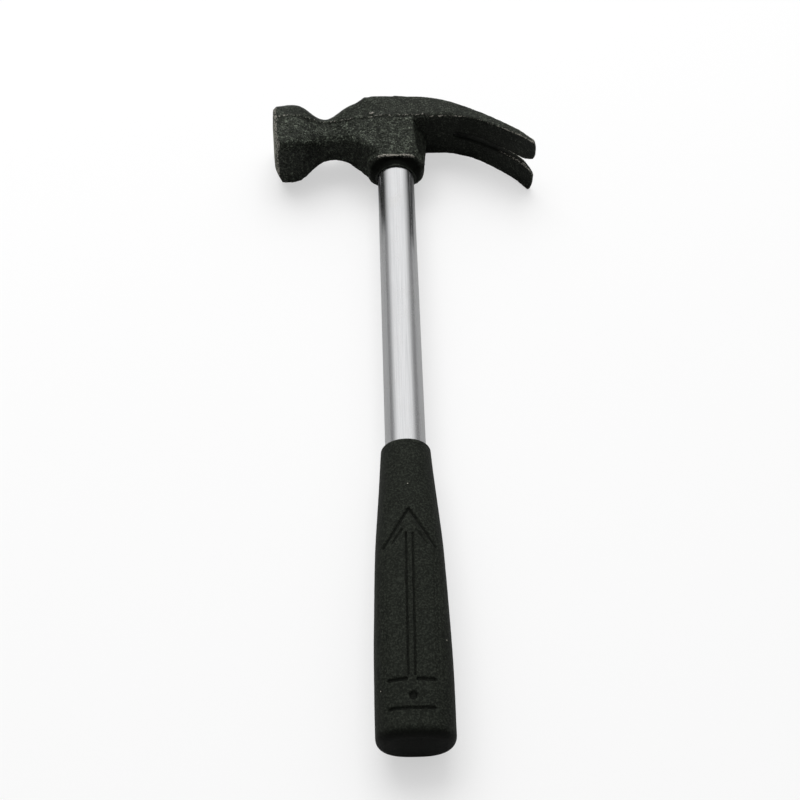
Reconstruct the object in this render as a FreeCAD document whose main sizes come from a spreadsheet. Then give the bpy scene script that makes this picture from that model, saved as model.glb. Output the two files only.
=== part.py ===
import FreeCAD, Part
import math
import os

import Sketcher

# Claw hammer with a cast head, a tubular steel handle and a moulded grip.
#
# The hammer lies on its side: +Z is up through its thickness, +Y runs from the butt
# to the crown of the head, and +X points towards the claw. The outlines below are
# drawn about the handle's axis, with Y = 0 at the middle of the striking poll and
# Z = 0 in the plane of symmetry. Each body's Placement then moves that point to its
# place in the part's frame, whose origin is the bottom centre of the whole hammer.

vector = FreeCAD.Vector

doc = FreeCAD.newDocument("ClawHammer")
sheet = doc.addObject("Spreadsheet::Sheet", "Sizes")


def size_rows(rows):
    """Write one row per size: its alias, its value and what it is."""
    first = 1
    while sheet.getContents("A%d" % first):
        first += 1
    for row, (alias, value, note) in enumerate(rows, first):
        sheet.set("A%d" % row, alias)
        sheet.set("B%d" % row, str(value))
        sheet.set("C%d" % row, note)
        sheet.setAlias("B%d" % row, alias)
    doc.recompute()


def size(alias):
    return float(sheet.get(alias))


size_rows([
    ("tube_outer", 17.0, "tube, outer diameter"),
    ("tube_wall", 1.2, "tube, wall thickness"),
    ("tube_swage", 1.3, "tube, how far its top is swaged outwards"),
    ("tube_swage_length", 6.0, "tube, length of the swaged cone at its top"),
    ("tube_inset", 0.8, "tube, its top end below the crown"),
    ("tube_in_grip", 120.0, "tube, length inside the grip"),
    ("crown_level", 19.0, "crown of the head, Y"),
    ("rim_level", -177.8, "open end of the grip, Y"),
    ("grip_length", 130.4, "grip, from its rim to its butt"),
    ("claw_tip", 66.6, "tips of the claw, X"),
    ("poll_face", -58.65, "furthest edge of the striking face, X"),
    ("half_thickness", 16.44, "half of the hammer's thickness, at the claw's tips"),
    ("axis_clear", 0.0, "on the handle's axis"),
])

# Cross-sections of the poll, each a rounded trapezoid in a plane across X: name, place
# along X, lower and upper edge in Y, half thickness in Z at each of them, corner radius.
POLL_SECTIONS = [
    ("face", -56.2, -13.2, 15.7, 14.0, 14.0, 4.8),
    ("barrel", -50.5, -13.4, 15.8, 14.3, 14.3, 4.3),
    ("shoulder", -45.0, -12.0, 15.3, 13.6, 14.0, 4.8),
    ("throat", -39.5, -8.4, 12.7, 10.6, 11.2, 4.8),
    ("neck", -32.5, -5.0, 11.3, 8.5, 8.9, 4.6),
    ("flare", -26.5, -4.6, 13.7, 8.7, 10.8, 4.2),
    ("slope", -21.0, -6.4, 17.2, 9.9, 12.3, 3.8),
    ("cheek", -15.5, -10.6, 18.9, 11.2, 12.8, 3.2),
    ("body", -9.0, -15.5, 18.9, 11.4, 12.5, 3.2),
]
for name, place, low, high, half_low, half_high, corner in POLL_SECTIONS:
    size_rows([
        ("poll_%s_place" % name, place, "poll section, X"),
        ("poll_%s_low" % name, low, "poll section, lower edge in Y"),
        ("poll_%s_high" % name, high, "poll section, upper edge in Y"),
        ("poll_%s_half_low" % name, half_low, "poll section, half thickness at its lower edge"),
        ("poll_%s_half_high" % name, half_high, "poll section, half thickness at its upper edge"),
        ("poll_%s_corner" % name, corner, "poll section, corner radius"),
    ])
DROOPING = ("face", "barrel")

size_rows([
    ("poll_droop", 2.0, "how far the striking face turns towards the butt, degrees"),
    ("face_bevel", 2.0, "ground bevel around the striking face"),
    ("cheek_level", 5.6, "widest level of the eye body, where the mould parts, Y"),
    ("cheek_half", 13.3, "half thickness of the eye body at that level"),
    ("cheek_left", -13.5, "eye body at that level, left side in X"),
    ("cheek_right", 16.0, "eye body at that level, right side in X"),
    ("cheek_round", 6.0, "eye body at that level, corner radius"),
    ("crown_left", -13.5, "crown, left end in X"),
    ("crown_right", 16.0, "crown, right end in X"),
    ("crown_half", 12.7, "half thickness of the crown"),
    ("crown_round", 3.0, "crown, corner radius"),
    ("socket_level", -18.2, "lower end of the socket's walls, Y"),
    ("socket_half", 10.8, "half thickness of the socket"),
    ("socket_side", 13.4, "half width of the socket in X"),
    ("socket_round", 8.8, "socket, corner radius"),
    ("mouth_level", -23.3, "mouth of the socket, where the tube comes out, Y"),
    ("mouth_half", 9.3, "half width of the mouth's rim"),
    ("mouth_round", 9.1, "mouth, corner radius"),
])

size_rows([
    ("claw_start", 0.0, "where the claw's solid starts inside the eye body, X"),
    ("claw_flat", 8.0, "end of the crown's flat, X"),
    ("claw_bend", 33.0, "where the claw's outer curve eases, X"),
    ("claw_bend_level", 12.2, "where the claw's outer curve eases, Y"),
    ("claw_tip_level", -15.2, "outer corner of the claw's tips, Y"),
    ("claw_root_radius", 47.0, "outer curve of the claw, near the crown"),
    ("claw_outer_radius", 130.0, "outer curve of the claw, to the tips"),
    ("claw_nose_radius", 1.2, "rounding of the claw's tips, seen from the side"),
    ("claw_tip_inner", 65.2, "inner corner of the claw's tips, X"),
    ("claw_tip_inner_level", -16.6, "inner corner of the claw's tips, Y"),
    ("claw_under_bend", 44.0, "where the claw's inner curve eases, X"),
    ("claw_under_level", -0.6, "where the claw's inner curve eases, Y"),
    ("claw_inner_radius", 140.0, "inner curve of the claw, to the tips"),
    ("claw_throat_radius", 34.5, "inner curve of the claw, near the eye body"),
    ("claw_root", 24.0, "where the claw's inner curve starts, X"),
    ("claw_root_level", 5.2, "underside of the claw at its root, Y"),
    ("claw_root_half", 13.2, "half width of the claw at its root"),
    ("claw_flare_radius", 260.0, "curve of the claw's sides, which flare to the tips"),
    ("claw_trim_end", 70.0, "far end of the claw's trimming cuts, X"),
    ("claw_trim_far", 22.0, "outer limit of the claw's trimming cuts"),
    ("claw_trim_tip", 17.0, "half width of the claw at the far end of the trimming cuts"),
    ("slot_root", 30.0, "closed end of the nail slot, X"),
    ("slot_root_half", 1.3, "half width of the nail slot at its closed end"),
    ("slot_root_radius", 1.4, "rounding of the nail slot's closed end"),
    ("slot_straight", 60.0, "where the prongs' rounded inner corners start, X"),
    ("slot_tip_half", 2.0, "half width of the nail slot near the tips"),
    ("slot_end", 67.0, "where the prongs' rounded inner corners end, X"),
    ("slot_mouth_half", 7.9, "half width of the nail slot at the tips"),
    ("slot_nose_radius", 7.2, "rounding of the prongs' inner corners"),
])

# Cross-sections of the grip, evenly spaced from the rim to where the butt's rounding
# starts, each a rounded rectangle across the handle: half width in X, half thickness
# in Z, corner radius.
GRIP_SECTIONS = [
    (10.4, 10.3, 10.0),
    (11.45, 11.1, 9.8),
    (12.55, 11.8, 9.2),
    (13.65, 12.4, 8.6),
    (14.25, 12.75, 8.3),
    (14.7, 12.95, 8.2),
    (15.05, 13.05, 8.6),
    (15.2, 13.05, 9.9),
    (15.2, 13.0, 11.4),
]
for number, (wide, thick, corner) in enumerate(GRIP_SECTIONS):
    size_rows([
        ("grip_wide_%d" % number, wide, "grip section, half width in X"),
        ("grip_thick_%d" % number, thick, "grip section, half thickness in Z"),
        ("grip_corner_%d" % number, corner, "grip section, corner radius"),
    ])
size_rows([
    ("butt_round", 4.5, "rounding of the grip's butt"),
    ("butt_steps", 4, "steps in which the butt's rounding is drawn"),
    ("plug_flange", 1.6, "tube end plug, thickness of its flange"),
    ("plug_shank", 14.0, "tube end plug, length inside the tube"),
    ("expander_length", 16.0, "expander plug, length"),
    ("expander_inset", 0.7, "expander plug, its top below the tube's end"),
])


def new_body(label):
    """A body of the hammer's, placed by the sheet in the part's frame."""
    body = doc.addObject("PartDesign::Body", label)
    body.Label = label
    body.setExpression("Placement.Base.x", "-(Sizes.claw_tip + Sizes.poll_face) / 2")
    butt = "(Sizes.rim_level - Sizes.grip_length)"
    body.setExpression("Placement.Base.y", "-(Sizes.crown_level + %s) / 2" % butt)
    body.setExpression("Placement.Base.z", "Sizes.half_thickness")
    return body


def new_sketch(body, name, role, offset=None, tilt=None):
    """A sketch on one of the body's origin planes, moved along the plane's normal.

    tilt then turns it about its own vertical axis.
    """
    plane = [f for f in body.Origin.OriginFeatures if f.Role == role][0]
    sketch = body.newObject("Sketcher::SketchObject", name)
    sketch.AttachmentSupport = [(plane, "")]
    sketch.MapMode = "FlatFace"
    if offset:
        sketch.setExpression("AttachmentOffset.Base.z", offset)
    if tilt:
        turn = FreeCAD.Rotation(vector(0, 1, 0), 1)
        sketch.AttachmentOffset = FreeCAD.Placement(vector(), turn)
        sketch.setExpression("AttachmentOffset.Rotation.Angle", tilt)
    return sketch


def drive(sketch, name, constraint, formula):
    """Add a dimension to a sketch and bind it to the sheet."""
    number = sketch.addConstraint(constraint)
    sketch.renameConstraint(number, name)
    sketch.setExpression("Constraints." + name, formula)


def at(alias, sign=1):
    """A size with its sign, as a pair of its number and its formula."""
    return sign * size(alias), "%s Sizes.%s" % ("-" if sign < 0 else "", alias)


def rounded_trapezoid(sketch, left, right, half_left, half_right, corner):
    """Draw a rounded trapezoid, symmetric about the sketch's X axis.

    Its left and right sides are upright, and its half heights there are given. Each
    argument is a pair from at(). Four equal corner circles are joined by tangents.
    """
    a, b, low, high, r = (pair[0] for pair in (left, right, half_left, half_right, corner))
    centres = [(a + r, r - low), (b - r, r - high), (b - r, high - r), (a + r, low - r)]
    slope = math.atan2(high - low, b - a - 2 * r)
    headings = [-slope, math.pi / 2, math.pi + slope, 3 * math.pi / 2, 2 * math.pi - slope]
    for number, (x, y) in enumerate(centres):
        after = centres[(number + 1) % 4]
        normal = headings[number] - math.pi / 2
        aside = vector(r * math.cos(normal), r * math.sin(normal), 0)
        side = Part.LineSegment(vector(x, y, 0) + aside, vector(*after, 0) + aside)
        sketch.addGeometry(side)
        circle = Part.Circle(vector(*after, 0), vector(0, 0, 1), r)
        turn = headings[number + 1] - math.pi / 2
        sketch.addGeometry(Part.ArcOfCircle(circle, normal, turn))
    for first in range(8):
        sketch.addConstraint(Sketcher.Constraint("Tangent", first, 2, (first + 1) % 8, 1))
    for arc in (3, 5, 7):
        sketch.addConstraint(Sketcher.Constraint("Equal", 1, arc))
    drive(sketch, "corner", Sketcher.Constraint("Radius", 1, r), corner[1])
    places = [("right", (b - r, high - r), right, half_right, 3, -1),
              ("left", (a + r, low - r), left, half_left, 5, 1)]
    for name, (x, y), side, half, arc, inward in places:
        inset = " + " if inward > 0 else " - "
        drive(sketch, name, Sketcher.Constraint("DistanceX", arc, 3, x),
              side[1] + inset + "(%s)" % corner[1])
        drive(sketch, name + "_half", Sketcher.Constraint("DistanceY", arc, 3, y),
              "%s - (%s)" % (half[1], corner[1]))
        opposite = {3: 1, 5: 7}[arc]
        sketch.addConstraint(Sketcher.Constraint("Symmetric", arc, 3, opposite, 3, -1))


def outline(sketch, corners, arcs=None):
    """Draw a closed outline through corners, each a pair of pairs from at().

    arcs turns the side that starts at a corner into an arc: it gives the radius and
    which side of the way round the centre lies on, +1 for left and -1 for right.
    """
    arcs = arcs or {}
    points = [vector(x[0], y[0], 0) for x, y in corners]
    ends = []
    for number, start in enumerate(points):
        end = points[(number + 1) % len(points)]
        if number not in arcs:
            sketch.addGeometry(Part.LineSegment(start, end))
            ends.append((1, 2))
            continue
        radius, side = arcs[number][0][0], arcs[number][1]
        chord = end - start
        left = vector(-chord.y, chord.x, 0).normalize()
        height = math.sqrt(radius ** 2 - (chord.Length / 2) ** 2)
        centre = (start + end) / 2 + left * side * height
        turns = [math.atan2(p.y - centre.y, p.x - centre.x) for p in (start, end)]
        first, last = turns if side > 0 else reversed(turns)
        circle = Part.Circle(centre, vector(0, 0, 1), radius)
        sketch.addGeometry(Part.ArcOfCircle(circle, first, last))
        ends.append((1, 2) if side > 0 else (2, 1))
    for number, (x, y) in enumerate(corners):
        after = (number + 1) % len(corners)
        join = Sketcher.Constraint("Coincident", number, ends[number][1], after, ends[after][0])
        sketch.addConstraint(join)
        start = ends[number][0]
        drive(sketch, "x%d" % number, Sketcher.Constraint("DistanceX", number, start, x[0]), x[1])
        drive(sketch, "y%d" % number, Sketcher.Constraint("DistanceY", number, start, y[0]), y[1])
        if number in arcs:
            value, formula = arcs[number][0]
            drive(sketch, "bend%d" % number, Sketcher.Constraint("Radius", number, value), formula)


def loft(body, name, sketches, ruled=False):
    feature = body.newObject("PartDesign::AdditiveLoft", name)
    feature.Profile = sketches[0]
    feature.Sections = sketches[1:]
    feature.Ruled = ruled
    for sketch in sketches:
        sketch.Visibility = False
    return feature


def through_cut(body, name, sketch):
    """Cut a sketch's outline out of the whole body, both ways from its plane."""
    feature = body.newObject("PartDesign::Pocket", name)
    feature.Profile = sketch
    feature.SideType = "Symmetric"
    feature.Type = "ThroughAll"
    return feature


def turned(body, name, kind, corners):
    """Turn an outline, drawn in the XY plane, round the handle's axis."""
    sketch = new_sketch(body, name + "Outline", "XY_Plane")
    outline(sketch, corners)
    feature = body.newObject(kind, name)
    feature.Profile = sketch
    feature.ReferenceAxis = (sketch, ["V_Axis"])
    feature.Angle = 360
    return feature


def total(first, second):
    """The sum of two pairs from at()."""
    return first[0] + second[0], "%s + %s" % (first[1], second[1])


def shift(pair, alias, sign=1):
    """A pair from at() with another size added, or taken away when sign is -1."""
    return pair[0] + sign * size(alias), "%s %s Sizes.%s" % (
        pair[1], "+" if sign > 0 else "-", alias)


def half_of(alias, extra=None):
    """Half of a size, and then another size more, as a pair."""
    pair = size(alias) / 2, "Sizes.%s / 2" % alias
    return shift(pair, extra) if extra else pair


def poll_section(body, name, inset=None):
    """A cross-section of the poll: sketch X is the hammer's Y, sketch Y its thickness.

    inset makes it smaller all round, and moves it as far towards the striking face.
    """
    key = "poll_" + name
    place = "Sizes.%s_place" % key
    sides = [at(key + "_low"), at(key + "_high"), at(key + "_half_low"), at(key + "_half_high")]
    corner = at(key + "_corner")
    if inset:
        place += " - Sizes." + inset
        sides = [shift(side, inset, sign) for side, sign in zip(sides, (1, -1, -1, -1))]
        corner = shift(corner, inset, -1)
    tilt = "Sizes.poll_droop" if name in DROOPING else None
    label = name.capitalize() + ("Front" if inset else "Section")
    sketch = new_sketch(body, label, "YZ_Plane", place, tilt)
    rounded_trapezoid(sketch, *sides, corner)
    return sketch


def level_section(body, name, level, left, right, half, corner):
    """A cross-section, of even thickness, at one level along the handle."""
    sketch = new_sketch(body, name, "XZ_Plane", "-(%s)" % level)
    rounded_trapezoid(sketch, left, right, half, half, corner)
    return sketch


def claw(body):
    """The claw: its side outline at full width, then trimmed to a flare and slotted."""
    side = new_sketch(body, "ClawSide", "XY_Plane")
    outline(side, [
        (at("claw_start"), at("crown_level")),
        (at("claw_flat"), at("crown_level")),
        (at("claw_bend"), at("claw_bend_level")),
        (at("claw_tip"), at("claw_tip_level")),
        (at("claw_tip_inner"), at("claw_tip_inner_level")),
        (at("claw_under_bend"), at("claw_under_level")),
        (at("claw_root"), at("claw_root_level")),
        (at("claw_start"), at("claw_root_level")),
    ], {
        1: (at("claw_root_radius"), -1),
        2: (at("claw_outer_radius"), -1),
        3: (at("claw_nose_radius"), -1),
        4: (at("claw_inner_radius"), 1),
        5: (at("claw_throat_radius"), 1),
    })
    pad = body.newObject("PartDesign::Pad", "Claw")
    pad.Profile = side
    pad.SideType = "Symmetric"
    pad.setExpression("Length", "2 * Sizes.half_thickness")

    for name, sign in (("UpperFlare", 1), ("LowerFlare", -1)):
        flare = new_sketch(body, name, "XZ_Plane")
        corners = [
            (at("claw_start"), at("claw_root_half", sign)),
            (at("claw_root"), at("claw_root_half", sign)),
            (at("claw_trim_end"), at("claw_trim_tip", sign)),
            (at("claw_trim_end"), at("claw_trim_far", sign)),
            (at("claw_start"), at("claw_trim_far", sign)),
        ]
        outline(flare, corners, {1: (at("claw_flare_radius"), sign)})
        through_cut(body, name + "Trim", flare)

    slot = new_sketch(body, "NailSlot", "XZ_Plane")
    outline(slot, [
        (at("slot_root"), at("slot_root_half", -1)),
        (at("slot_straight"), at("slot_tip_half", -1)),
        (at("slot_end"), at("slot_mouth_half", -1)),
        (at("slot_end"), at("slot_mouth_half")),
        (at("slot_straight"), at("slot_tip_half")),
        (at("slot_root"), at("slot_root_half")),
    ], {
        1: (at("slot_nose_radius"), -1),
        3: (at("slot_nose_radius"), -1),
        5: (at("slot_root_radius"), 1),
    })
    through_cut(body, "NailSlotCut", slot)


def hammer_head():
    """The casting: poll, neck, eye body with a socket mouth, and a split claw."""
    body = new_body("hammer_head")
    loft(body, "Poll", [poll_section(body, section[0]) for section in POLL_SECTIONS])
    bevel = [poll_section(body, "face"), poll_section(body, "face", "face_bevel")]
    loft(body, "FaceBevel", bevel, ruled=True)

    loft(body, "EyeBody", [
        level_section(body, "CrownSection", "Sizes.crown_level", at("crown_left"),
                      at("crown_right"), at("crown_half"), at("crown_round")),
        level_section(body, "CheekLevel", "Sizes.cheek_level", at("cheek_left"),
                      at("cheek_right"), at("cheek_half"), at("cheek_round")),
        level_section(body, "SocketSection", "Sizes.socket_level", at("socket_side", -1),
                      at("socket_side"), at("socket_half"), at("socket_round")),
        level_section(body, "MouthSection", "Sizes.mouth_level", at("mouth_half", -1),
                      at("mouth_half"), at("mouth_half"), at("mouth_round")),
    ], ruled=True)
    claw(body)

    eye = new_sketch(body, "EyeOutline", "XZ_Plane")
    eye.addGeometry(Part.Circle(vector(), vector(0, 0, 1), size("tube_outer") / 2))
    eye.addConstraint(Sketcher.Constraint("Coincident", 0, 3, -1, 1))
    bore = Sketcher.Constraint("Diameter", 0, size("tube_outer"))
    drive(eye, "bore", bore, "Sizes.tube_outer")
    through_cut(body, "Eye", eye)

    seat = shift(at("crown_level"), "tube_swage_length", -1)
    turned(body, "Countersink", "PartDesign::Groove", [
        (at("axis_clear"), at("crown_level")),
        (half_of("tube_outer", "tube_swage"), at("crown_level")),
        (half_of("tube_outer"), seat),
        (at("axis_clear"), seat),
    ])
    return body


def handle_tube():
    """The tube, swaged out to a cone at its top to fill the eye's countersink."""
    body = new_body("handle_tube")
    top = shift(at("crown_level"), "tube_inset", -1)
    seat = shift(at("crown_level"), "tube_swage_length", -1)
    end = shift(at("rim_level"), "tube_in_grip", -1)
    outer = half_of("tube_outer")
    inner = shift(outer, "tube_wall", -1)
    slope = (size("tube_swage_length") - size("tube_inset")) / size("tube_swage_length")
    share = "(Sizes.tube_swage_length - Sizes.tube_inset) / Sizes.tube_swage_length"
    wider = size("tube_swage") * slope, "Sizes.tube_swage * %s" % share
    turned(body, "Tube", "PartDesign::Revolution", [
        (inner, end), (outer, end), (outer, seat),
        (total(outer, wider), top), (total(inner, wider), top), (inner, seat),
    ])
    return body


def eye_plug():
    """The tapered steel plug that holds the tube's top swaged out."""
    body = new_body("eye_plug")
    top = shift(shift(at("crown_level"), "tube_inset", -1), "expander_inset", -1)
    seat = shift(at("crown_level"), "tube_swage_length", -1)
    low = shift(top, "expander_length", -1)
    inner = shift(half_of("tube_outer"), "tube_wall", -1)
    slope = (top[0] - seat[0]) / size("tube_swage_length")
    share = "(%s - (%s)) / Sizes.tube_swage_length" % (top[1], seat[1])
    wider = size("tube_swage") * slope, "Sizes.tube_swage * %s" % share
    turned(body, "Plug", "PartDesign::Revolution", [
        (at("axis_clear"), low), (inner, low), (inner, seat),
        (total(inner, wider), top), (at("axis_clear"), top),
    ])
    return body


def tube_end_plug():
    """The plastic plug in the tube's lower end, with a flange over the cut edge."""
    body = new_body("tube_end_plug")
    end = shift(at("rim_level"), "tube_in_grip", -1)
    outer = half_of("tube_outer")
    inner = shift(outer, "tube_wall", -1)
    flange, shank = shift(end, "plug_flange", -1), shift(end, "plug_shank")
    turned(body, "EndPlug", "PartDesign::Revolution", [
        (at("axis_clear"), flange), (outer, flange), (outer, end),
        (inner, end), (inner, shank), (at("axis_clear"), shank),
    ])
    return body


def grip_section(body, number, turn=None):
    """A cross-section of the grip, by its number from the rim.

    turn, from 0 to 1, draws it that far round the butt's quarter-circle edge instead.
    """
    share = number / (len(GRIP_SECTIONS) - 1)
    level = "Sizes.rim_level - (Sizes.grip_length - Sizes.butt_round) * %.4f" % share
    sides = [at("grip_%s_%d" % (side, number)) for side in ("wide", "thick", "corner")]
    name = "Grip%d" % number
    if turn is not None:
        angle = turn * math.pi / 2
        level += " - Sizes.butt_round * %.4f" % math.sin(angle)
        drawn_in = 1 - math.cos(angle)
        less = (-drawn_in * size("butt_round"), "(%.4f) * Sizes.butt_round" % -drawn_in)
        sides = [total(side, less) for side in sides]
        name += "Butt%d" % round(turn * size("butt_steps"))
    wide, thick, corner = sides
    left = -wide[0], "-(%s)" % wide[1]
    return level_section(body, name + "Section", level, left, wide, thick, corner)


def grip():
    """The moulded sleeve: closed at the butt, and open at the rim for the tube."""
    body = new_body("grip")
    last = len(GRIP_SECTIONS) - 1
    loft(body, "Sleeve", [grip_section(body, number) for number in range(last + 1)])
    steps = int(size("butt_steps"))
    loft(body, "Butt", [grip_section(body, last, step / steps) for step in range(steps + 1)])

    end = shift(shift(at("rim_level"), "tube_in_grip", -1), "plug_flange", -1)
    rim = at("rim_level")
    turned(body, "Bore", "PartDesign::Groove", [
        (at("axis_clear"), end), (half_of("tube_outer"), end),
        (half_of("tube_outer"), rim), (at("axis_clear"), rim),
    ])
    return body


def check(bodies):
    """Stop unless every object computed and every piece is one valid solid."""
    for thing in doc.Objects:
        if "Invalid" in thing.State or "Error" in thing.State:
            raise RuntimeError("%s failed: %s" % (thing.Name, thing.State))
    for body in bodies:
        shape = body.Shape
        if shape.isNull() or not shape.isValid() or len(shape.Solids) != 1:
            raise RuntimeError("%s is not one valid solid" % body.Label)
        box = shape.BoundBox
        print("%-14s %9.1f mm3  X %7.2f %7.2f  Y %7.2f %7.2f  Z %6.2f %6.2f" % (
            body.Label, shape.Volume, box.XMin, box.XMax,
            box.YMin, box.YMax, box.ZMin, box.ZMax))


pieces = [hammer_head(), handle_tube(), eye_plug(), tube_end_plug(), grip()]
doc.recompute()
check(pieces)
os.makedirs("parts", exist_ok=True)
for piece in pieces:
    piece.Shape.exportStep("parts/%s.step" % piece.Label)
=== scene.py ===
import math

import bpy
import numpy as np
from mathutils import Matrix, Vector


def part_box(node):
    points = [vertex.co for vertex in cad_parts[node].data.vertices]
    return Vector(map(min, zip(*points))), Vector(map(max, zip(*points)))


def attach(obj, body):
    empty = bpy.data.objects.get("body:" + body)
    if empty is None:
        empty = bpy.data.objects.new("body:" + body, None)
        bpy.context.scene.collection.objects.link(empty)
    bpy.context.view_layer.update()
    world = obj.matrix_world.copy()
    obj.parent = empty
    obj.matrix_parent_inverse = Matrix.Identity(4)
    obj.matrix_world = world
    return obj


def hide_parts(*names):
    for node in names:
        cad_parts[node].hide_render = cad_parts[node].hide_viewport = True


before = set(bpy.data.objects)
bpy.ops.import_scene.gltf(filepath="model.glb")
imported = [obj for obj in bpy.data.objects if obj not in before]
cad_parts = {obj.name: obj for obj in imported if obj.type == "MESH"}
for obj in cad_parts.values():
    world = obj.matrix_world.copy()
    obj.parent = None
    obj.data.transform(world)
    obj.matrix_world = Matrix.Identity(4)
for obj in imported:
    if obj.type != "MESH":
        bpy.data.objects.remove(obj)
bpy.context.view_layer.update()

# The looks of a claw hammer that lies on its side. Shapes are worked out in millimetres
# about the point where the handle's axis crosses the axis of the poll: X towards the
# claw, Y towards the crown, Z up. to_row() moves them into the row's frame, in metres.
MM = 0.001
CROWN = 19.0
HEAD_LOW, HEAD_HIGH = (np.array(corner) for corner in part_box("hammer_head"))
TUBE_LOW, TUBE_HIGH = (np.array(corner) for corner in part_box("handle_tube"))
GRIP_LOW, GRIP_HIGH = (np.array(corner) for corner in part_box("grip"))
AXIS = (TUBE_LOW + TUBE_HIGH) / 2
AXIS[1] = HEAD_HIGH[1] - CROWN * MM
RIM = (GRIP_HIGH[1] - AXIS[1]) / MM
BUTT = (GRIP_LOW[1] - AXIS[1]) / MM
TUBE_TOP = (TUBE_HIGH[1] - AXIS[1]) / MM
TUBE_END = (TUBE_LOW[1] - AXIS[1]) / MM
TUBE_RADIUS = 8.5


# ------------------------------------------------------------------ small tools

def to_row(points):
    return np.asarray(points) * MM + AXIS


def step(low, high, values):
    """0 below low, 1 above high, and an even S between them. low may be the larger."""
    share = np.clip((values - low) / (high - low), 0, 1)
    return share * share * (3 - 2 * share)


def lumps(points, size, seed):
    """Smooth seeded noise, about -1 to 1, whose lumps are size mm across."""
    rng = np.random.RandomState(seed)
    order = np.tile(rng.permutation(256), 2)
    slopes = rng.normal(size=(256, 3))
    slopes /= np.linalg.norm(slopes, axis=1)[:, None]
    cell = np.floor(points / size).astype(int)
    part = points / size - cell
    ease = part ** 3 * (part * (part * 6 - 15) + 10)
    total = np.zeros(len(points))
    for corner in np.ndindex(2, 2, 2):
        x, y, z = ((cell + corner) & 255).T
        key = order[order[order[x] + y] + z]
        weight = np.prod(np.where(corner, ease, 1 - ease), axis=1)
        total += weight * ((part - corner) * slopes[key]).sum(axis=1)
    return total * 1.7


class Skin:
    """A closed mesh of quads, in mm, whose points can be smoothed and moved."""

    def __init__(self, points, quads):
        self.points, self.quads = np.asarray(points, float), np.asarray(quads)
        self.starts = self.quads.ravel()
        self.ends = np.roll(self.quads, -1, axis=1).ravel()
        self.degree = np.bincount(self.starts, minlength=len(self.points))

    def around(self, values):
        """The mean of each point's neighbours' values."""
        columns = values.T if values.ndim > 1 else values[None]
        sums = [np.bincount(self.starts, column[self.ends], len(self.degree))
                for column in columns]
        mean = np.stack(sums, axis=-1) / self.degree[:, None]
        return mean if values.ndim > 1 else mean[:, 0]

    def smooth(self, rounds, weight=1.0):
        """Relax the points; weight is one number, or one for each point."""
        weight = np.reshape(weight * np.ones(len(self.points)), (-1, 1)) * 0.6
        for _ in range(rounds):
            self.points += (self.around(self.points) - self.points) * weight

    def normals(self):
        a, b, c, d = (self.points[self.quads[:, k]] for k in range(4))
        flat = np.cross(c - a, d - b)
        sums = [np.bincount(self.starts, np.repeat(flat[:, k], 4), len(self.degree))
                for k in range(3)]
        total = np.stack(sums, axis=1)
        return total / np.linalg.norm(total, axis=1)[:, None]

    def sharpness(self):
        """How far each point stands out from its neighbours, in mm: edges are positive."""
        return ((self.points - self.around(self.points)) * self.normals()).sum(axis=1)


def add_piece(name, points, faces, material, node, shades=()):
    """A piece that rides on the hammer and stands for a CAD node.

    shades is pairs of a name and one number for each point, which the material reads.
    """
    mesh = bpy.data.meshes.new(name)
    faces = [list(map(int, face)) for face in faces]
    mesh.from_pydata(to_row(points).tolist(), [], faces)
    mesh.polygons.foreach_set("use_smooth", np.ones(len(mesh.polygons), bool))
    for label, values in shades:
        attribute = mesh.attributes.new(label, "FLOAT", "POINT")
        attribute.data.foreach_set("value", np.asarray(values, np.float32))
    mesh.materials.append(material)
    mesh.update()
    piece = bpy.data.objects.new(name, mesh)
    bpy.context.scene.collection.objects.link(piece)
    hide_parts(node)
    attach(piece, "root")


def ring_faces(rings, count):
    """Quads between rings of count points each, and from the last ring to the first."""
    ring, turn = np.meshgrid(np.arange(rings), np.arange(count), indexing="ij")
    after, beside = (ring + 1) % rings, (turn + 1) % count
    corners = [ring * count + turn, ring * count + beside,
               after * count + beside, after * count + turn]
    return np.stack(corners, axis=-1).reshape(-1, 4)


def capped(rings):
    """Join rings of points; the first and the last ring each close up to one point."""
    count = rings.shape[1]
    body = rings[1:-1].reshape(-1, 3)
    points = np.vstack([body, rings[0].mean(axis=0), rings[-1].mean(axis=0)])
    turn = np.arange(count)
    beside, end = (turn + 1) % count, len(body) - count
    faces = ring_faces(len(rings) - 2, count)[:-count].tolist()
    faces += np.stack([beside, turn, turn * 0 + len(body)], axis=-1).tolist()
    faces += np.stack([end + turn, end + beside, turn * 0 + len(body) + 1], axis=-1).tolist()
    return points, faces


def lathe(profile, count):
    """Turn a closed profile of (radius, level) round the handle's axis: points, faces."""
    turns = np.arange(count) * 2 * math.pi / count
    radius, level = np.asarray(profile).T
    x = radius[:, None] * np.sin(turns)
    z = radius[:, None] * np.cos(turns)
    y = np.repeat(level[:, None], count, axis=1)
    return np.stack([x, y, z], axis=-1).reshape(-1, 3), ring_faces(len(profile), count)


def run(start, end, spacing):
    """Points from start up to end, not counting end, no further apart than spacing."""
    start, end = np.array(start, float), np.array(end, float)
    count = max(1, math.ceil(np.linalg.norm(end - start) / spacing))
    return [start + (end - start) * k / count for k in range(count)]


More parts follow.
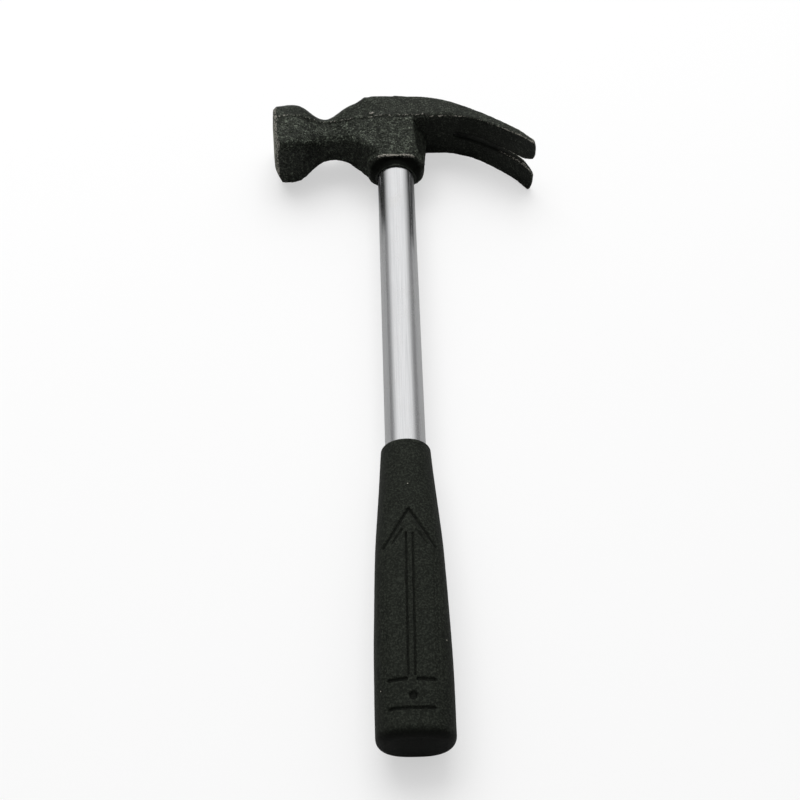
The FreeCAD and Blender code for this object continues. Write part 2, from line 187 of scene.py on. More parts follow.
def rounded(corners, rounds, spacing, steps=5):
    """A closed profile through corners, each cut off by its own rounding in rounds."""
    corners = [np.array(corner, float) for corner in corners]
    points = []
    for k, corner in enumerate(corners):
        before, after = corners[k - 1], corners[(k + 1) % len(corners)]
        into = corner + (before - corner) / np.linalg.norm(before - corner) * rounds[k]
        out = corner + (after - corner) / np.linalg.norm(after - corner) * rounds[k]
        for share in np.linspace(0, 1, steps + 1)[:-1] if rounds[k] else [0]:
            first, second = into + (corner - into) * share, corner + (out - corner) * share
            points.append(first + (second - first) * share)
        next_round = rounds[(k + 1) % len(corners)]
        stop = after + (corner - after) / np.linalg.norm(after - corner) * next_round
        points += run(out, stop, spacing)
    return points


# ------------------------------------------------------------------ materials

class Surface:
    """A Principled material, with its texture nodes added by short calls."""

    def __init__(self, name, **values):
        self.material = bpy.data.materials.new(name)
        self.material.use_nodes = True
        self.tree = self.material.node_tree
        self.shader = self.tree.nodes["Principled BSDF"]
        self.set(self.shader, values)
        self.place = self.add("ShaderNodeTexCoord").outputs["Object"]

    def set(self, node, values):
        for key, value in values.items():
            socket = node.inputs[key if isinstance(key, int) else key.replace("_", " ")]
            if isinstance(value, bpy.types.NodeSocket):
                self.tree.links.new(value, socket)
            else:
                socket.default_value = value

    def add(self, kind, values=None, **settings):
        node = self.tree.nodes.new(kind)
        for key, value in settings.items():
            setattr(node, key, value)
        self.set(node, values or {})
        return node

    def stretched(self, x, y, z):
        """The place on the surface, with each direction scaled."""
        mapping = self.add("ShaderNodeMapping", {"Vector": self.place, "Scale": (x, y, z)})
        return mapping.outputs[0]

    def noise(self, size, detail=3, rough=0.55, place=None):
        """Noise, 0 to 1, whose lumps are size mm across."""
        values = {"Vector": place or self.place, "Scale": 1 / (size * MM),
                  "Detail": detail, "Roughness": rough}
        return self.add("ShaderNodeTexNoise", values).outputs["Fac"]

    def cells(self, size):
        """The distance from the nearest of many scattered spots, size mm apart."""
        values = {"Vector": self.place, "Scale": 1 / (size * MM)}
        return self.add("ShaderNodeTexVoronoi", values).outputs["Distance"]

    def shade(self, name):
        return self.add("ShaderNodeAttribute", attribute_name=name).outputs["Fac"]

    def math(self, kind, first, second=0.5):
        return self.add("ShaderNodeMath", {0: first, 1: second}, operation=kind).outputs[0]

    def span(self, value, low, high, to_low=0.0, to_high=1.0):
        """value from low..high moved to to_low..to_high, and kept within it."""
        values = {"Value": value, "From Min": low, "From Max": high,
                  "To Min": to_low, "To Max": to_high}
        return self.add("ShaderNodeMapRange", values).outputs[0]

    def mix(self, share, first, second):
        node = self.add("ShaderNodeMix", {0: share, 6: first, 7: second}, data_type="RGBA")
        return node.outputs[2]

    def bump(self, height, distance, below=None, strength=1.0):
        """A bump whose full height is distance mm, on top of the bump below."""
        values = {"Height": height, "Distance": distance * MM, "Strength": strength}
        if below is not None:
            values["Normal"] = below
        return self.add("ShaderNodeBump", values).outputs[0]


def grey(value, warmth=0.0):
    """A near-neutral colour: warmth above 0 leans to yellow, below 0 to blue."""
    return (value * (1 + warmth), value * (1 + warmth * 0.4), value * (1 - warmth), 1.0)


def olive(value):
    """A near-neutral colour that leans to green."""
    return (value * 0.94, value * 1.07, value * 0.85, 1.0)


def paint_and_steel():
    """The head: rough black paint, worn at the edges, and ground bare at the face."""
    s = Surface("cast_black_paint", Specular_IOR_Level=0.16,
                Specular_Tint=(0.92, 1.0, 0.84, 1.0))
    rough = s.shade("rough")
    patches = s.span(s.noise(9, 4), 0.35, 0.7)
    base = s.mix(patches, olive(0.0030), olive(0.0075))
    mottle = s.span(s.noise(3.2, 3), 0.35, 0.65, -0.035, 0.035)
    grain = s.span(s.math("ADD", s.noise(0.9, 4, 0.8), mottle), 0.50, 0.66)
    base = s.mix(s.math("MULTIPLY", grain, s.span(rough, 0.0, 1.0, 0.45, 1.0)),
                 base, olive(0.050))
    # Painted glints: bright flecks in the colour, thickest where the skin is rough, stand in for
    # light glinting off the cast skin.
    painted_glints = s.span(s.math("ADD", s.noise(0.85, 3, 0.85), mottle), 0.54, 0.68)
    base = s.mix(s.math("MULTIPLY", painted_glints, s.span(rough, 0.0, 1.0, 0.35, 1.0)),
                 base, olive(0.175))
    # Painted shade: the hollows that head() marks are painted near black and made rougher.
    painted_shade = s.shade("painted_shade")
    base = s.mix(painted_shade, base, olive(0.0015))

    chips = s.span(s.noise(0.8, 4, 0.75), 0.42, 0.62)
    worn = s.span(s.math("MULTIPLY", s.shade("wear"), chips), 0.22, 0.50)
    steel_worn = s.mix(s.noise(1.2, 3), grey(0.13, 0.10), grey(0.46, 0.08))
    base = s.mix(worn, base, steel_worn)

    bare = s.shade("bare")
    scratches = s.noise(0.25, 3, 0.6, s.stretched(1.0, 1.0, 0.06))
    stains = s.span(s.noise(4.5, 5, 0.65), 0.45, 0.75)
    ground = s.mix(scratches, grey(0.22, 0.06), grey(0.46, 0.07))
    ground = s.mix(stains, ground, grey(0.10, 0.16))
    base = s.mix(bare, base, ground)
    metal = s.math("MAXIMUM", bare, s.math("MULTIPLY", worn, 0.6))
    gloss = s.span(s.noise(1.6, 4, 0.7), 0.3, 0.7, 0.34, 0.52)
    gloss = s.span(bare, 0.0, 1.0, gloss, s.span(scratches, 0.3, 0.7, 0.26, 0.44))
    gloss = s.math("MAXIMUM", gloss, s.math("MULTIPLY", painted_shade, 0.9))

    coarse = s.bump(s.noise(1.0, 3, 0.6), 0.42, strength=s.span(rough, 0.1, 1.0, 0.25, 1.0))
    fine = s.bump(s.noise(0.35, 3, 0.7), 0.10, coarse, s.span(rough, 0.1, 1.0, 0.45, 0.9))
    marks = s.bump(scratches, 0.012, strength=0.5)
    blend = s.add("ShaderNodeMix", {0: bare, 4: fine, 5: marks}, data_type="VECTOR")
    s.set(s.shader, {"Base Color": base, "Metallic": metal, "Roughness": gloss,
                     "Normal": blend.outputs[1]})
    return s.material


def plated():
    """The tube: bright plating over drawn steel, with fine lines along it."""
    s = Surface("plated_steel", Metallic=1.0)
    lines = s.noise(0.35, 4, 0.6, s.stretched(1.0, 0.012, 1.0))
    bands = s.noise(2.4, 2, 0.5, s.stretched(1.0, 0.02, 1.0))
    haze = s.noise(14, 5, 0.6)
    tone = s.mix(s.span(lines, 0.3, 0.7), grey(0.54, -0.012), grey(0.64, -0.006))
    tone = s.mix(s.span(haze, 0.55, 0.8, 0.0, 0.5), tone, grey(0.55, 0.02))
    specks = s.span(s.cells(3.4), 0.05, 0.02, 0.0, 0.7)
    tone = s.mix(specks, tone, grey(0.20, 0.05))
    gloss = s.math("ADD", s.span(bands, 0.3, 0.7, 0.19, 0.27), s.span(haze, 0.4, 0.8, 0.0, 0.06))
    normal = s.bump(lines, 0.010, strength=0.55)
    normal = s.bump(s.noise(3.5, 2), 0.012, normal, 0.4)
    s.set(s.shader, {"Base Color": tone, "Roughness": gloss, "Normal": normal})
    return s.material


def turned_steel():
    """The plug in the eye: turned steel, dulled, with rings from the lathe."""
    ring_step, ring_waver = 0.3 * MM, 0.12 * MM
    s = Surface("turned_steel", Metallic=1.0)
    centre = Vector(to_row((0, 0, 0)))
    offset = s.add("ShaderNodeVectorMath", {0: s.place, 1: centre}, operation="SUBTRACT")
    flat = s.add("ShaderNodeVectorMath", {0: offset.outputs[0], 1: (1, 0, 1)},
                 operation="MULTIPLY")
    radius = s.add("ShaderNodeVectorMath", {0: flat.outputs[0]}, operation="LENGTH")
    waver = s.math("MULTIPLY", s.noise(2.0, 3), ring_waver)
    wavy = s.math("ADD", radius.outputs["Value"], waver)
    turn = s.math("MULTIPLY", wavy, 2 * math.pi / ring_step)
    rings = s.math("SINE", turn)
    rust = s.span(s.noise(1.7, 6, 0.7), 0.5, 0.72)
    tone = s.mix(rust, grey(0.34, 0.03), (0.12, 0.075, 0.05, 1))
    gloss = s.span(rust, 0.0, 1.0, 0.34, 0.7)
    s.set(s.shader, {"Base Color": tone, "Roughness": gloss,
                     "Normal": s.bump(rings, 0.008, strength=0.6)})
    return s.material


def moulded_plastic():
    """The plug in the tube's lower end, hidden in the grip."""
    s = Surface("moulded_plastic", Specular_IOR_Level=0.4)
    tone = s.mix(s.noise(3, 4), grey(0.020), grey(0.035))
    gloss = s.span(s.noise(0.8, 3), 0.3, 0.7, 0.45, 0.6)
    s.set(s.shader, {"Base Color": tone, "Roughness": gloss,
                     "Normal": s.bump(s.noise(0.3, 3), 0.02)})
    return s.material


def rubber():
    """The grip: matte black rubber with a fine grain and a little dust."""
    s = Surface("moulded_rubber", Specular_IOR_Level=0.10,
                Specular_Tint=(0.93, 1.0, 0.88, 1.0))
    patches = s.span(s.noise(12, 5, 0.6), 0.3, 0.7)
    grain = s.noise(0.8, 4, 0.8)
    tone = s.mix(patches, olive(0.0055), olive(0.0080))
    tone = s.mix(s.span(grain, 0.47, 0.62), tone, olive(0.031))
    film = s.span(s.noise(5, 6, 0.7), 0.55, 0.8, 0.0, 0.3)
    tone = s.mix(film, tone, olive(0.020))
    # Painted shade: the grooves' floors and the butt's end are painted near black.
    tone = s.mix(s.math("MULTIPLY", s.shade("sunk"), 0.72), tone, olive(0.0012))
    dust = s.span(s.cells(8.5), 0.030, 0.018)
    tone = s.mix(dust, tone, grey(0.40, 0.10))
    gloss = s.span(grain, 0.3, 0.7, 0.50, 0.66)
    normal = s.bump(s.noise(0.8, 4, 0.75), 0.20, strength=1.0)
    normal = s.bump(s.noise(0.25, 2), 0.03, normal, 0.7)
    s.set(s.shader, {"Base Color": tone, "Roughness": gloss, "Normal": normal})
    return s.material


# ------------------------------------------------------------------ head

VOXEL = 0.32

# Places and sizes on the casting, in mm about the point where the axes cross. FACE_TILT and
# CHEEK_FALL are slopes, and VOXEL is the size of the mesh's squares.
FACE_LEFT = -58.3
FACE_TILT = math.tan(math.radians(2))
LINE_LEVEL = 6.2
PIT_PLACE, LIP_PLACE = (-11.2, 6.6), (-10.9, 8.5)
CHEEK_EDGE, CHEEK_END = 9.0, 16.5
CHEEK_HALF = 12.0
CHEEK_FALL = 0.62
RECESS_TOP = -18.0
RECESS_RADIUS, RECESS_DEPTH = 9.15, 2.6
TUBE_GAP = 0.06


def voxel_skin(node, size):
    """A CAD node's shape as a Skin of even quads, size mm across."""
    work = bpy.data.objects.new(node + "_work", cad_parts[node].data.copy())
    bpy.context.scene.collection.objects.link(work)
    work.modifiers.new("weld", "WELD").merge_threshold = 0.001 * MM
    remesh = work.modifiers.new("remesh", "REMESH")
    remesh.mode = "VOXEL"
    remesh.voxel_size = size * MM
    depsgraph = bpy.context.evaluated_depsgraph_get()
    mesh = bpy.data.meshes.new_from_object(work.evaluated_get(depsgraph))
    points = np.zeros(len(mesh.vertices) * 3)
    mesh.vertices.foreach_get("co", points)
    quads = np.zeros(len(mesh.loops), int)
    mesh.loops.foreach_get("vertex_index", quads)
    spare = work.data
    bpy.data.objects.remove(work)
    bpy.data.meshes.remove(spare)
    bpy.data.meshes.remove(mesh)
    return Skin((points.reshape(-1, 3) - AXIS) / MM, quads.reshape(-1, 4))


def soften(skin, ground, bore):
    """Soften every edge of the casting, round the poll and its neck more below, and fill
    the hollow corners under the claw."""
    x, y, _ = skin.points.T.copy()
    tip = step(54, 62, x)
    crown = step(-24, -16, x) * step(14, 0, x) * step(11, 15, y)
    skin.smooth(9, (1 - 0.5 * tip) * (1 - 0.75 * ground) * (1 - bore) * (1 - 0.6 * crown))
    neck = step(-54, -48, x) * step(-12, -18, x) * step(3, -2, y)
    skin.smooth(60, neck)
    under_claw = step(7, 12, x) * step(34, 24, x) * step(-9, -3, y) * step(14, 9, y)
    skin.smooth(60, under_claw)


def adjust_crown_and_claw(skin, x, y, z):
    """Fill the crown's corner, round the prongs and narrow the slot.

    x, y and z are where the skin's points were before it was softened.
    """
    across, outward = np.abs(z), np.sign(z)

    # The crown's corner over the poll is full, and stays flush with the flat crown.
    lift = step(-19, -14, x) * step(8, -6, x) * step(9, 16, y)
    dip = step(-14, -16, x) * step(-27, -18, x) * step(10, 16, y)
    skin.points[:, 1] += 1.3 * lift - 0.8 * dip
    skin.points[:, 2] += 0.7 * lift * outward * step(4, 9, across)

    # The prongs' outer corners are rounded off.
    skin.points[:, 0] -= 0.03 * np.maximum(across - 10, 0) ** 2 * step(58, 65, x)

    # The slot closes up towards the mouth, behind its flare.
    narrow = step(40, 52, x) * step(64.5, 62, x) * step(3.2, 2.3, across)
    skin.points[:, 2] -= 0.5 * narrow * outward


def slope_cheeks(skin, bore):
    """Slope each cheek away beside the claw's root, below the smooth band.

    Returns 0 to 1 for each point: how far onto the slope it is.
    """
    x, y, z = skin.points.T.copy()
    past = (x - CHEEK_EDGE) + (np.abs(z) - CHEEK_HALF) * CHEEK_FALL
    past = np.maximum(past, 0) * step(5.6, 3.4, y) * step(22, 17, x) * (1 - bore)
    skin.points[:, 0] -= past / (1 + CHEEK_FALL ** 2)
    skin.points[:, 2] -= past * CHEEK_FALL / (1 + CHEEK_FALL ** 2) * np.sign(z)
    return step(0.1, 0.9, past)


def cut_recess(skin, bore):
    """Cut a recess round the tube below each cheek's lower edge."""
    x, y, z = skin.points.T.copy()
    reach = np.hypot(x, z)
    recess = step(RECESS_TOP, RECESS_TOP - 0.7, y) * step(1.5, 5, np.abs(z))
    recess *= step(17, 14, reach)
    depth = np.clip(reach - RECESS_RADIUS, 0, RECESS_DEPTH) * recess * (1 - bore)
    skin.points[:, [0, 2]] *= (1 - depth / np.maximum(reach, 1))[:, None]


def hammer_face(skin):
    """Round the face's lower corners, as use has. Returns 0 to 1 for each point: its wear."""
    x, y, z = skin.points.T.copy()
    lost = 0.015 * np.maximum(np.abs(z) - y - 8.5, 0) ** 2 - (x - FACE_LEFT)
    lost = np.maximum(lost, 0) * step(-46, -50, x)
    skin.points[:, 0] += lost
    hammered = step(0.05, 0.5, lost) * step(-54, -56, skin.points[:, 0])
    skin.smooth(14, step(-47, -51, x) * step(8, 2, y) * (1 - 0.7 * step(0.6, 1.5, lost)))
    return hammered


def keep_inside(skin, bore):
    """Keep the skin clear of the tube and inside the CAD model's box."""
    reach = np.hypot(skin.points[:, 0], skin.points[:, 2])
    clear = TUBE_RADIUS + TUBE_GAP
    scale = 1 + bore * (reach < clear) * (clear / np.maximum(reach, 1e-6) - 1)
    skin.points[:, 0] *= scale
    skin.points[:, 2] *= scale
    low, high = (HEAD_LOW - AXIS) / MM, (HEAD_HIGH - AXIS) / MM
    skin.points = np.clip(skin.points, low + 0.001, high - 0.001)


def head():
    """The casting, from the CAD solid: its own shape, its cast skin, and where it is worn."""
    skin = voxel_skin("hammer_head", VOXEL)
    x, y, z = skin.points.T.copy()
    tip = step(54, 62, x)
    ground = step(-55.9, -56.4, x + y * FACE_TILT)
    bore = step(9.9, 9.3, np.hypot(x, z)) * step(18.0, 17.0, y)
    soften(skin, ground, bore)
    adjust_crown_and_claw(skin, x, y, z)
    slope = slope_cheeks(skin, bore)
    cut_recess(skin, bore)
    hammered = hammer_face(skin)

    edge = skin.sharpness()
    for _ in range(3):
        edge = skin.around(edge)

    normal = skin.normals()
    x, y, z = skin.points.T.copy()
    side = step(0.45, 0.8, np.abs(normal[:, 2]))
    rim = ground * step(0.985, 0.93, -normal[:, 0])
    body = step(CHEEK_END + 1.0, CHEEK_END - 1.0, x)
    casting = (1 - ground) * (1 - bore)

    # The mould's parting line runs along both cheeks and the poll. Above it the skin is
    # smooth and stands proud; below it the skin is rough.
    wander = 0.55 * lumps(skin.points * (1, 0, 0) + (0, 3.3, 0), 3.1, 11)
    wander += 0.22 * lumps(skin.points * (1, 0, 0), 0.9, 12)
    line = LINE_LEVEL + wander
    below = step(0.30, -0.30, y - line)
    bead = np.exp(-((y - line - 0.1) / 0.38) ** 2) * side * body
    ragged = np.clip(0.45 + 0.9 * lumps(skin.points, 1.3, 13), 0, 1.3)

    rough = (0.28 + 0.72 * below * step(17.5, 15.5, x)) * casting
    # On the claw's faces that turn towards the butt the skin is less rough: smaller bumps, less
    # grain and fewer painted glints.
    rough *= 1 - 0.4 * step(17, 22, x) * step(-0.2, -0.6, normal[:, 1])
    grit = 0.17 * lumps(skin.points, 1.5, 21) + 0.10 * lumps(skin.points, 0.85, 22)
    pits = -0.22 * step(0.35, 0.9, lumps(skin.points, 1.9, 23))
    swell = 0.12 * lumps(skin.points, 6.5, 24) + 0.09 * lumps(skin.points, 3.0, 25)
    claw_edge = np.exp(-((np.abs(normal[:, 2]) - 0.62) / 0.22) ** 2)
    claw_edge *= step(15, 18, x) * step(-0.3, -0.5, normal[:, 1]) * step(6, 9, np.abs(z))
    height = rough * (grit + pits + swell)
    height -= 0.30 * below * side * body * casting
    height += bead * casting * 0.26 * ragged
    height += claw_edge * 0.10 * ragged * (1 - tip)

    # One deep pit in the parting line, with a lip above it.
    pit = np.hypot((x - PIT_PLACE[0]) / 1.25, (y - PIT_PLACE[1]) / 0.95)
    lip = np.hypot((x - LIP_PLACE[0]) / 1.1, (y - LIP_PLACE[1]) / 0.55)
    upper = side * (z > 0)
    height += upper * (0.30 * np.exp(-lip ** 2) - 0.75 * np.exp(-pit ** 2))
    skin.points += normal * height[:, None]
    reach = np.hypot(skin.points[:, 0], skin.points[:, 2])
    keep_inside(skin, bore)

    # Paint is worn off the edges, and shade is painted into the hollows.
    socket = np.exp(-((y - RECESS_TOP - 0.3) / 0.5) ** 2)
    socket *= step(4, 8, z) * step(9.5, 8, np.abs(x))
    wear = 0.55 * step(0.006, 0.045, edge) * casting
    wear += bead * ragged
    wear += 1.7 * claw_edge * ragged
    wear += 1.1 * step(46, 58, x) * step(0.004, 0.03, edge)
    wear += 2.2 * socket * (0.3 + ragged)
    wear += np.maximum(0.62 * hammered, 0.8 * rim)
    wear += 1.3 * upper * np.exp(-lip ** 2)
    # Painted shade, where shade falls: the recess round the tube, a line just under the bead,
    # the slot and the cheeks' slope.
    recess = step(RECESS_TOP + 0.1, RECESS_TOP - 0.3, y) * step(24, 17, x)
    recess *= step(14, 11, reach) * (1 - bore)
    bead_shadow = np.exp(-((y - line + 0.75) / 0.4) ** 2) * side * body * casting
    slot = step(3.0, 2.3, np.abs(z)) * step(27, 31, x)
    painted_shade = np.max([recess, 0.7 * bead_shadow, 0.8 * slot, 0.55 * slope], axis=0)
    shades = [("rough", rough), ("wear", np.clip(wear, 0, 1.5)), ("bare", ground - rim),
              ("painted_shade", painted_shade)]
    add_piece("head_casting", skin.points, skin.quads, paint_and_steel(),
              "hammer_head", shades)


# ------------------------------------------------------------------ tube and plugs

# The tube's end grows by SWAGE_GROWTH in radius over the countersink's SWAGE_LENGTH. The
# tube stops a little below the crown, so it takes up only SWAGE_USED of that length.
TUBE_WALL = 1.2
SWAGE_GROWTH, SWAGE_LENGTH, SWAGE_USED = 1.3, 6.0, 5.2
SWAGE = SWAGE_GROWTH * SWAGE_USED / SWAGE_LENGTH
SWAGE_LEVEL = CROWN - SWAGE_LENGTH
TUBE_SIDES = 256
PLUG_LENGTH = 16.0
PLUG_SUNK = 0.7
PLUG_SIDES = 160


def tube():
    """The handle: a drawn tube with rounded ends, swaged out in the eye."""
    inner = TUBE_RADIUS - TUBE_WALL
    corners = [(inner, TUBE_END), (TUBE_RADIUS, TUBE_END), (TUBE_RADIUS, SWAGE_LEVEL),
               (TUBE_RADIUS + SWAGE, TUBE_TOP), (inner + SWAGE, TUBE_TOP), (inner, SWAGE_LEVEL)]
    profile = rounded(corners, [0.3, 0.3, 0.8, 0.35, 0.35, 0.8], 1.0)
    points, faces = lathe(profile, TUBE_SIDES)
    # Drawn tube is never quite round or straight: the wall wavers by about 0.01 mm.
    waver = 1 + 0.0011 * lumps(points * (1, 0.14, 1), 5.0, 31)
    points[:, 0] *= waver
    points[:, 2] *= waver
    add_piece("tube", points, faces, plated(), "handle_tube")


def plug():
    """The expander in the eye: slightly hollow on top, with a rounded edge and a centre mark."""
    top = TUBE_TOP - PLUG_SUNK
    low = top - PLUG_LENGTH
    inner = TUBE_RADIUS - TUBE_WALL
    wide = inner + SWAGE_GROWTH * (top - SWAGE_LEVEL) / SWAGE_LENGTH
    core, mark, mark_depth = 0.1, 1.3, 0.9
    corners = [(core, low), (inner, low), (inner, SWAGE_LEVEL), (wide, top),
               (mark, top - 0.05), (core, top - mark_depth)]
    profile = rounded(corners, [0, 0.4, 0.5, 0.45, 0.25, 0], 0.5)
    outside = [point for point in profile if point[0] > 1.1 * core]
    points, _ = lathe([(0, low)] + outside + [(0, top - mark_depth)], PLUG_SIDES)
    points, faces = capped(points.reshape(-1, PLUG_SIDES, 3))
    add_piece("plug", points, faces, turned_steel(), "eye_plug")


# ------------------------------------------------------------------ grip

# Half width, half thickness and squareness of the grip at even steps from the rim to
# the start of the butt's rounding; squareness 2 is an ellipse.
GRIP_SHAPE = np.array([
    (10.4, 10.3, 2.05), (11.45, 11.1, 2.2), (12.55, 11.8, 2.6), (13.65, 12.4, 3.1),
    (14.25, 12.75, 3.4), (14.7, 12.95, 3.5), (15.05, 13.05, 3.4), (15.2, 13.05, 3.0),
    (15.2, 13.0, 2.4)])
GRIP_LENGTH = RIM - BUTT
BUTT_ROUND = 4.6
BUTT_DOME = 0.7
RIM_LIP = 1.1
BORE_GAP, BORE_PAST_TUBE = 0.03, 1.6
POLE = 0.002
AROUND = 420
ALONG = 0.28

# Places along the grip, measured from its rim. From LEAN_START on, the marks lean a little
# to one side.
ARROW_TOP = 34.9
SHAFT_TOP, SHAFT_END = 46.2, 106.8
BARS_LEVEL = 108.3
DIMPLE_LEVEL = 114.9
CROSS_LEVEL = 119.7
LEAN_START, LEAN_LENGTH = 46.0, 80.0
MARK_SKEW = 0.95 / 62


def curve_through(values, places):
    """A smooth curve through evenly spaced rows of values, read at places from 0 to 1."""
    last = len(values) - 1
    spot = np.clip(places, 0, 1) * last
    k = np.minimum(spot.astype(int), last - 1)
    t = (spot - k)[:, None]
    padded = np.vstack([2 * values[0] - values[1], values, 2 * values[-1] - values[-2]])
    p0, p1, p2, p3 = (padded[k + n] for n in range(4))
    return 0.5 * (2 * p1 + (p2 - p0) * t + (2 * p0 - 5 * p1 + 4 * p2 - p3) * t ** 2
                  + (3 * p1 - p0 - 3 * p2 + p3) * t ** 3)


def segment_distance(x, s, start, end):
    """The distance of each point (x, s) from a straight line between two points."""
    start, end = np.array(start), np.array(end)
    way = end - start
    share = ((x - start[0]) * way[0] + (s - start[1]) * way[1]) / (way @ way)
    share = np.clip(share, 0, 1)
    return np.hypot(x - start[0] - share * way[0], s - start[1] - share * way[1])


def groove(distance, half, depth):
    """A moulded groove with a flat floor and drafted walls, from its centre line."""
    return -depth * step(half, half * 0.35, distance)


def grip_marks(x, s):
    """How far the moulded marks move the grip's broad faces: negative is sunk."""
    x = x + MARK_SKEW * np.clip(s - LEAN_START, 0, LEAN_LENGTH)
    move = np.zeros_like(x)
    for sign in (-1, 1):
        marks = [
            (((0.0, ARROW_TOP), (10.4 * sign, 52.2)), 0.80, 0.62),
            (((2.8 * sign, 44.6), (7.0 * sign, 50.8)), 0.62, 0.40),
            (((1.35 * sign, SHAFT_TOP), (1.35 * sign, SHAFT_END)), 0.56, 0.60),
            (((2.2 * sign, BARS_LEVEL), (8.7 * sign, BARS_LEVEL + 0.4)), 0.90, 0.70),
        ]
        for (start, end), half, depth in marks:
            move = np.minimum(move, groove(segment_distance(x, s, start, end), half, depth))
    cross = segment_distance(x, s, (-8.6, CROSS_LEVEL), (8.4, CROSS_LEVEL))
    move = np.minimum(move, groove(cross, 0.85, 0.70))
    move = np.minimum(move, groove(np.hypot(x - 0.4, s - DIMPLE_LEVEL), 2.2, 0.85))
    # Panels beside the shaft stand a little proud, and soft ribs run outside them.
    panel = step(9.3, 8.9, np.abs(x)) * step(0.0, 2.0, s - 47 - 0.8 * np.abs(x))
    move += 0.14 * panel * step(107.6, 107, s)
    ribs = np.cos((np.abs(x) - 9.9) * 2 * math.pi / 1.5)
    ends = step(56, 64, s) * step(116, 108, s)
    move += 0.09 * (ribs - 1) * ends * step(8.9, 9.6, np.abs(x)) * step(14.2, 13.2, np.abs(x))
    return move


def grip():
    """The sleeve: rounded rim, swelling sides, moulded marks and a closed butt."""
    straight = GRIP_LENGTH - BUTT_ROUND
    places = np.linspace(0, straight, round(straight / ALONG))
    shape = curve_through(GRIP_SHAPE, places / straight)
    turns = np.arange(AROUND) * 2 * math.pi / AROUND
    sine, cosine = np.sin(turns), np.cos(turns)

    def outline(wide, thick, square):
        power = np.abs(sine / wide) ** square + np.abs(cosine / thick) ** square
        return power ** (-1 / square)

    rings = []
    # The rim's rounded lip, from the bore outwards.
    for angle in np.linspace(0, math.pi / 2, 7)[:-1]:
        reach = outline(*shape[0]) - RIM_LIP * (1 - math.sin(angle))
        rings.append((reach, np.full(AROUND, RIM_LIP * (1 - math.cos(angle)))))
    for place, section in zip(places, shape):
        if place > RIM_LIP:
            rings.append((outline(*section), np.full(AROUND, place)))
    # The butt's edge, then its end, which is slightly domed.
    edge = BUTT_ROUND - BUTT_DOME
    full = outline(*shape[-1])
    for angle in np.linspace(0, math.pi / 2, 22)[1:]:
        reach = full - BUTT_ROUND * (1 - math.cos(angle))
        rings.append((reach, np.full(AROUND, straight + edge * math.sin(angle))))
    inner = full - BUTT_ROUND
    for share in np.linspace(1, 0, 34)[1:]:
        bulge = BUTT_DOME * (1 - share ** 2)
        rings.append((inner * max(share, POLE), np.full(AROUND, straight + edge + bulge)))
    reach = np.array([ring[0] for ring in rings])
    level = np.array([ring[1] for ring in rings])
    x, z = reach * sine, reach * cosine

    # Moulded marks on both broad faces, and the unevenness of a soft moulding.
    flat = step(0.35, 0.75, np.abs(cosine))[None, :]
    move = grip_marks(x, level) * flat
    spots = np.stack([x, level, z], axis=-1).reshape(-1, 3)
    uneven = 0.10 * lumps(spots * (1, 0.5, 1), 11.0, 41) + 0.03 * lumps(spots, 3.0, 42) - 0.10
    grown = reach + (move + uneven.reshape(reach.shape)) * step(0.0, 3.0, reach)
    x, z = grown * sine, grown * cosine

    # The bore, down to the tube's end, closes the mesh behind the rim.
    bore = TUBE_RADIUS + BORE_GAP
    depth = RIM - TUBE_END + BORE_PAST_TUBE
    hole = [(bore * POLE, depth), (bore, depth)] + [(bore, d) for d in (60, 6, 0.6)]
    extra = np.array([(r * sine, np.full(AROUND, d), r * cosine) for r, d in hole])
    x = np.vstack([extra[:, 0], x])
    level = np.vstack([extra[:, 1], level])
    z = np.vstack([extra[:, 2], z])
    points, faces = capped(np.stack([x, RIM - level, z], axis=-1))
    faces = [face[::-1] for face in faces]

    # Painted shade: the floors of the grooves and the butt's end are painted darkest, where
    # shade falls.
    past_edge = level[len(hole):] - straight
    groove_and_butt_shade = np.maximum(step(-0.16, -0.50, move), 1.3 * step(0.6, 3.2, past_edge))
    sunk = np.concatenate([np.zeros((len(hole), AROUND)), groove_and_butt_shade])
    sunk = np.append(sunk[1:-1].ravel(), (0, 0))
    add_piece("grip_sleeve", points, faces, rubber(), "grip",
              [("sunk", sunk)])


# ------------------------------------------------------------------ stage

def area_light(name, place, aim, size, power):
    """A soft rectangular light, at place and aimed at aim, both in metres."""
    light = bpy.data.lights.new(name, "AREA")
    light.shape = "RECTANGLE"
    light.size, light.size_y = size
    light.energy = power
    lamp = bpy.data.objects.new(name, light)
    lamp.location = place
    lamp.rotation_euler = (Vector(aim) - Vector(place)).to_track_quat("-Z", "Y").to_euler()
    bpy.context.scene.collection.objects.link(lamp)
    return lamp


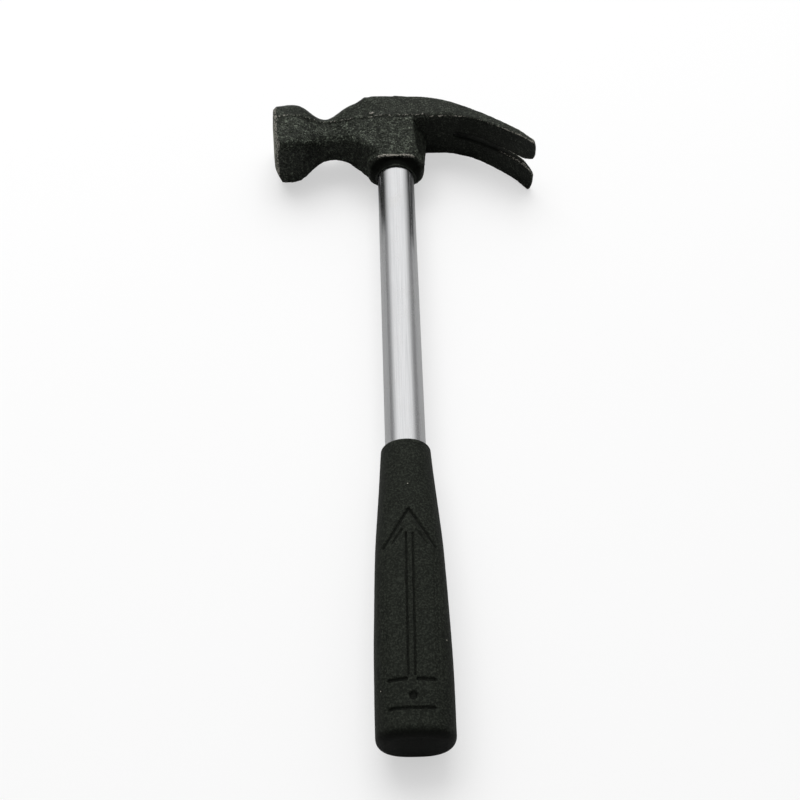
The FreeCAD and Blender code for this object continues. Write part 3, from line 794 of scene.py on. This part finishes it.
def soft_room():
    """The room's light: a broad soft panel behind and above, in a dim grey room, and a
    second panel in front that only shows in reflections. The camera sees it all white."""
    world = bpy.data.worlds.new("studio")
    world.use_nodes = True
    nodes, links = world.node_tree.nodes, world.node_tree.links
    way = nodes.new("ShaderNodeTexCoord").outputs["Generated"]

    def toward(direction, low, high, to_low, to_high):
        """A glow that goes from to_low to to_high as the cosine of the angle between the ray
        and direction goes from low to high."""
        dot = nodes.new("ShaderNodeVectorMath")
        dot.operation = "DOT_PRODUCT"
        dot.inputs[1].default_value = Vector(direction).normalized()
        links.new(way, dot.inputs[0])
        span = nodes.new("ShaderNodeMapRange")
        span.interpolation_type = "SMOOTHSTEP"
        links.new(dot.outputs["Value"], span.inputs["Value"])
        for key, value in zip(("From Min", "From Max", "To Min", "To Max"),
                              (low, high, to_low, to_high)):
            span.inputs[key].default_value = value
        return span.outputs[0]

    def combine(kind, first, second):
        node = nodes.new("ShaderNodeMath")
        node.operation = kind
        for socket, value in zip(node.inputs, (first, second)):
            if isinstance(value, bpy.types.NodeSocket):
                links.new(value, socket)
            else:
                socket.default_value = value
        return node.outputs[0]

    panel = toward((-0.03, 0.60, 0.80), 0.50, 0.90, 0.0, 0.92)
    room = toward((0, 1, 0.1), -0.3, 0.7, 0.03, 0.34)
    front = toward((0, -0.86, 0.50), 0.70, 0.96, 0.0, 0.75)
    path = nodes.new("ShaderNodeLightPath").outputs
    glow = combine("ADD", panel, room)
    glow = combine("ADD", glow, combine("MULTIPLY", path["Is Glossy Ray"], front))
    glow = combine("MAXIMUM", glow, combine("MULTIPLY", path["Is Camera Ray"], 0.95))
    nodes["Background"].inputs["Color"].default_value = (1, 1, 1, 1)
    links.new(glow, nodes["Background"].inputs["Strength"])
    bpy.context.scene.world = world


FLOOR_HALF = 12.0
FLOOR_GAP = 0.0001
FLOOR_GLOW = 0.56


def stage():
    """A pale floor that stays pale to the camera, the room's light and one soft lamp."""
    half = FLOOR_HALF
    mesh = bpy.data.meshes.new("floor")
    mesh.from_pydata([(-half, -half, 0), (half, -half, 0), (half, half, 0), (-half, half, 0)],
                     [], [(0, 1, 2, 3)])
    floor = bpy.data.objects.new("floor", mesh)
    floor.location.z = HEAD_LOW[2] - FLOOR_GAP
    bpy.context.scene.collection.objects.link(floor)
    s = Surface("pale_floor", Roughness=0.9, Specular_IOR_Level=0.1)
    seen = s.add("ShaderNodeLightPath").outputs["Is Camera Ray"]
    tone = s.mix(s.noise(400, 3), grey(0.39), grey(0.40))
    s.set(s.shader, {"Base Color": s.mix(seen, grey(0.50), tone),
                     "Emission Color": grey(1.0),
                     "Emission Strength": s.math("MULTIPLY", seen, FLOOR_GLOW)})
    mesh.materials.append(s.material)

    soft_room()
    key = area_light("key", place=(-0.2, 1.0, 1.6), aim=(0, 0, 0), size=(1.6, 1.4), power=26)
    key.visible_glossy = False
    bpy.context.scene.view_settings.view_transform = "Standard"


CAMERA_PLACE = (-11.92, -519.95, 522.16)
CAMERA_TILT, CAMERA_TURN = 54.8, 1.6
SENSOR, LENS = 36.0, 67.5


def camera():
    """A camera past the butt and above it, looking along the handle and down by its tilt."""
    tilt, turn = math.radians(CAMERA_TILT), math.radians(CAMERA_TURN)
    forward = Vector((math.sin(turn) * math.cos(tilt), math.cos(turn) * math.cos(tilt),
                      -math.sin(tilt)))
    data = bpy.data.cameras.new("camera")
    data.sensor_width = SENSOR
    data.lens = LENS
    eye = bpy.data.objects.new("camera", data)
    eye.location = to_row(CAMERA_PLACE)
    eye.rotation_euler = forward.to_track_quat("-Z", "Y").to_euler()
    bpy.context.scene.collection.objects.link(eye)
    bpy.context.scene.camera = eye


head()
tube()
plug()
grip()

# The plug in the tube's lower end can't be seen: it keeps its CAD shape.
end_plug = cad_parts["tube_end_plug"]
end_plug.data.materials.clear()
end_plug.data.materials.append(moulded_plastic())
stage()
camera()
